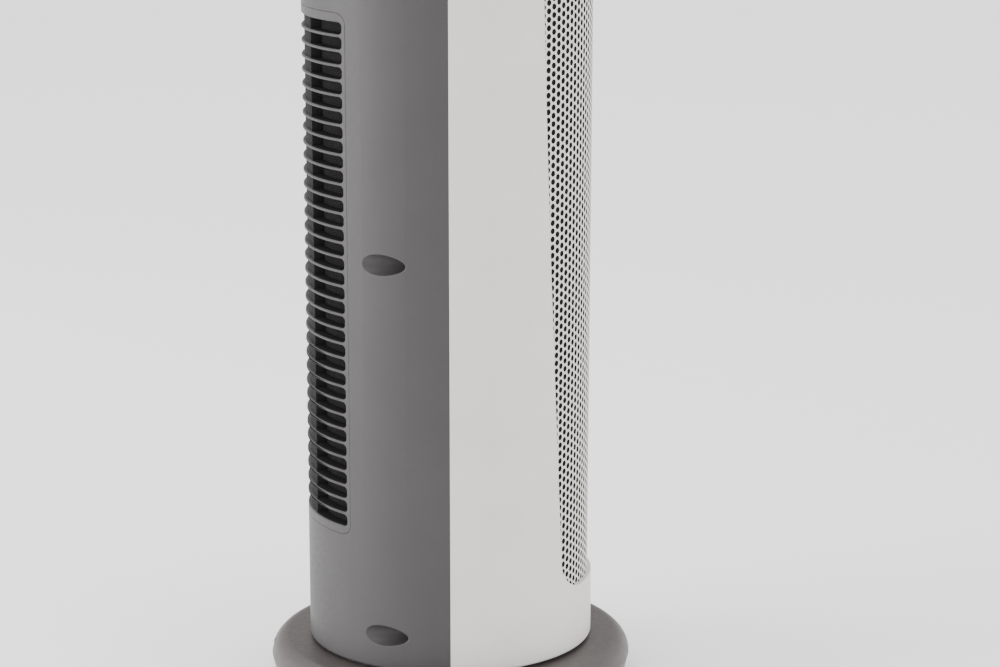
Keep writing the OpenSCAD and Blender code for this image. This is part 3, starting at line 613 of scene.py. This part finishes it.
def loft(rings):
    """Closed skin over rings of points (across, across, along), with a fan over each end."""
    n = len(rings[0])
    points = [p for ring in rings for p in ring]
    faces = [(i * n + k, i * n + (k + 1) % n, (i + 1) * n + (k + 1) % n, (i + 1) * n + k)
             for i in range(len(rings) - 1) for k in range(n)]
    for start in (0, (len(rings) - 1) * n):
        ring = points[start:start + n]
        points.append(tuple(sum(c) / n for c in zip(*ring)))
        faces += [(start + k, start + (k + 1) % n, len(points) - 1) for k in range(n)]
    return points, faces


def joined(shapes):
    """One mesh from several (points, faces)."""
    points, faces = [], []
    for some_points, some_faces in shapes:
        shift = len(points)
        points += some_points
        faces += [tuple(k + shift for k in face) for face in some_faces]
    return points, faces


def screw(head_r, head_h, shank_r, length):
    """Pan-head screw along +Z, with its seat at zero and its head below."""
    rings = [
        (cross(*(share * head_r for share in RECESS_FLOOR)), -head_h * (1 - RECESS_DEPTH)),
        (cross(*(share * head_r for share in RECESS_MOUTH)), -head_h * MOUTH_UP),
        *((circle(share * head_r), -head_h * up) for share, up in HEAD_PROFILE),
        (circle(shank_r), 0),
        (circle(shank_r), length - shank_r),
        (circle(shank_r * 0.3), length),
    ]
    return loft([[(x, y, z) for x, y in ring] for ring, z in rings])


def spots(node, axes, reach):
    """Middle and radius of a CAD node's separate round pieces, seen along the third axis."""
    groups = []
    for v in NODES[node].data.vertices:
        p = (v.co[axes[0]], v.co[axes[1]])
        group = next((g for g in groups if math.dist(p, g[0]) < reach), None)
        if group is None:
            groups.append([p])
        else:
            group.append(p)
    found = []
    for group in groups:
        (left, right), (near, far) = ((min(c), max(c)) for c in zip(*group))
        found.append(((left + right) / 2, (near + far) / 2, (right - left) / 2))
    return found


def shell_screw_pieces():
    """Screws that hold the two shells together, driven in from behind."""
    low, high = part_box("shell_screws")
    seat = low.x + HEAD_H
    shapes = []
    for y, z, head_r in spots("shell_screws", (1, 2), SCREW_REACH):
        points, faces = screw(head_r, HEAD_H, head_r / 2, high.x - seat)
        shapes.append(([(seat + along, y + a, z + b) for a, b, along in points], faces))
    obj = piece("shell_screw_set", *joined(shapes), "screw_steel", "tower")
    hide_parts("shell_screws")


# ---------- Marks on the keys ----------

MARK_W = 0.7 * MM
MARK_UP = 0.12 * MM
MARK_DOWN = 0.05 * MM


def band(path, top, closed=False):
    """Raised line of even width along a path of (right, away) points on a level face."""
    sides = []
    n = len(path)
    for k, (a, b) in enumerate(path):
        before = path[(k - 1) % n] if closed or k > 0 else path[k]
        after = path[(k + 1) % n] if closed or k < n - 1 else path[k]
        along = Vector((after[0] - before[0], after[1] - before[1])).normalized()
        across = Vector((-along.y, along.x)) * MARK_W / 2
        sides.append(((a + across.x, b + across.y), (a - across.x, b - across.y)))
    rings = [[(l[0], l[1], top - MARK_DOWN), (l[0], l[1], top + MARK_UP),
              (r[0], r[1], top + MARK_UP), (r[0], r[1], top - MARK_DOWN)] for l, r in sides]
    if not closed:
        return loft(rings)
    points = [p for ring in rings for p in ring]
    faces = []
    for i in range(n):
        here, there = 4 * i, 4 * ((i + 1) % n)
        faces += [(here + k, here + (k + 1) % 4, there + (k + 1) % 4, there + k) for k in range(4)]
    return points, faces


def arc(r, start, end, steps=28):
    """Path round zero, from one angle in degrees to another."""
    angles = [math.radians(start + (end - start) * k / steps) for k in range(steps + 1)]
    return [(r * math.cos(a), r * math.sin(a)) for a in angles]


def power_mark(top):
    """Ring with a gap, and an upright line in the gap."""
    half_gap = 35
    ring = arc(3.1 * MM, 90 + half_gap, 450 - half_gap)
    return [band(ring, top), band([(0, 1.2 * MM), (0, 4.3 * MM)], top)]


def speed_mark(top):
    """Three upright lines, each taller than the one before."""
    step, foot, rise = 2.2 * MM, -3 * MM, 1.4 * MM
    return [band([(k * step, foot), (k * step, (k + 1.2) * rise)], top) for k in (-1, 0, 1)]


def swing_mark(top):
    """Upright line for the tower, with an arrowhead pointing away on each side."""
    half, barb, tip, wing = 3 * MM, 2.4 * MM, 4.6 * MM, 2.2 * MM
    marks = [band([(0, -half), (0, half)], top)]
    for side in (-1, 1):
        head = [(side * barb, -wing), (side * tip, 0), (side * barb, wing)]
        marks.append(band(head, top))
    return marks


def timer_mark(top):
    """Clock face with two hands."""
    dial = arc(3.6 * MM, 0, 350, 35)
    hands = [(1.9 * MM, 0), (0, 0), (0, 2.4 * MM)]
    return [band(dial, top, closed=True), band(hands, top)]


def key_marks():
    """One raised sign on each key, which rides down with it."""
    for key, draw in (("power_key", power_mark), ("speed_key", speed_mark),
                      ("swing_key", swing_mark), ("timer_key", timer_mark)):
        low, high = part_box(key)
        middle_x, middle_y = (low.x + high.x) / 2, (low.y + high.y) / 2
        points, faces = joined(draw(high.z))
        placed = [(middle_x - away, middle_y + right, z) for right, away, z in points]
        piece(key + "_mark", placed, faces, "slide_plastic", key)


# ---------- Camera, light and floor ----------

# Strength of the room's light: in front and behind, at the sides, and above.
ROOM_ENDS = 0.6
ROOM_SIDES = 1.9
ROOM_ABOVE = 2.6

# Where it grows from the lowest strength to the highest, sideways and upwards.
SIDE_START, SIDE_END = 0.15, 0.75
ABOVE_START, ABOVE_END = 0.35, 0.9

FLOOR_HALF = 40.0
FLOOR_ROUGH = 0.8
FLOOR_DARK, FLOOR_LIGHT = (0.93, 0.93, 0.93), (0.95, 0.95, 0.95)


def studio():
    """White room with soft light, and a pale floor under the fan."""
    scene = bpy.context.scene
    world = bpy.data.worlds.new("studio")
    scene.world = world
    world.use_nodes = True
    tree = world.node_tree
    sky = tree.nodes["Background"]
    sky.inputs["Color"].default_value = (1, 1, 1, 1)
    coord = tree.nodes.new("ShaderNodeTexCoord")
    split = tree.nodes.new("ShaderNodeSeparateXYZ")
    tree.links.new(coord.outputs["Generated"], split.inputs["Vector"])
    sideways = tree.nodes.new("ShaderNodeMath")
    sideways.operation = "ABSOLUTE"
    tree.links.new(split.outputs["X"], sideways.inputs[0])
    brighter = tree.nodes.new("ShaderNodeMath")
    brighter.operation = "MAXIMUM"
    sides = spread(
        tree, sideways.outputs["Value"], ROOM_ENDS, ROOM_SIDES, SIDE_START, SIDE_END)
    above = spread(tree, split.outputs["Z"], ROOM_ENDS, ROOM_ABOVE, ABOVE_START, ABOVE_END)
    tree.links.new(sides, brighter.inputs[0])
    tree.links.new(above, brighter.inputs[1])
    tree.links.new(brighter.outputs["Value"], sky.inputs["Strength"])
    floor_mesh = bpy.data.meshes.new("floor")
    half = FLOOR_HALF
    corners = [(-half, -half, 0), (half, -half, 0), (half, half, 0), (-half, half, 0)]
    floor_mesh.from_pydata(corners, [], [(0, 1, 2, 3)])
    floor = bpy.data.objects.new("floor", floor_mesh)
    scene.collection.objects.link(floor)
    mat, tree, shader = new_material("floor_paper")
    cloud = noise(tree, place_coords(tree), PAPER_CLOUDS)
    tree.links.new(
        blend_colours(tree, cloud, FLOOR_DARK, FLOOR_LIGHT), shader.inputs["Base Color"])
    shader.inputs["Roughness"].default_value = FLOOR_ROUGH
    floor_mesh.materials.append(mat)


LAMP_SIZE = (1.0, 1.4)
LAMP_AIM = Vector((0, 0, 0.22))
LEFT_PLACE, LEFT_WATTS = (-1.5, -0.25, 0.6), 34
RIGHT_PLACE, RIGHT_WATTS = (1.4, -0.8, 0.6), 8


def soft_light(name, place, watts):
    """Large lamp that shines on the middle of the fan."""
    data = bpy.data.lights.new(name, "AREA")
    data.shape = "RECTANGLE"
    data.size, data.size_y = LAMP_SIZE
    data.energy = watts
    lamp = bpy.data.objects.new(name, data)
    lamp.location = place
    lamp.rotation_mode = "QUATERNION"
    lamp.rotation_quaternion = (LAMP_AIM - Vector(place)).to_track_quat("-Z", "Y")
    bpy.context.scene.collection.objects.link(lamp)


CAMERA_PLACE = Vector((0, -1.364, 0.492))
CAMERA_YAW = math.radians(1.04)
CAMERA_PITCH = math.radians(-13.09)
CAMERA_LENS = 103
CAMERA_SENSOR = 36
CAMERA_NEAR = 0.01


def camera():
    """The picture's view: from the fan's right, a little above its top, tilted down."""
    data = bpy.data.cameras.new("camera")
    data.sensor_width = CAMERA_SENSOR
    data.lens = CAMERA_LENS
    data.clip_start = CAMERA_NEAR
    cam = bpy.data.objects.new("camera", data)
    cam.location = CAMERA_PLACE
    cam.rotation_euler = (math.pi / 2 + CAMERA_PITCH, 0, -CAMERA_YAW)
    bpy.context.scene.collection.objects.link(cam)
    bpy.context.scene.camera = cam


camera()
studio()
soft_light("left", LEFT_PLACE, LEFT_WATTS)
soft_light("right", RIGHT_PLACE, RIGHT_WATTS)
dress_cad_nodes()
paint_shade_in_louvre_slots()
perforated_screen()
screen_shade_sheet()
shell_screw_pieces()
key_marks()
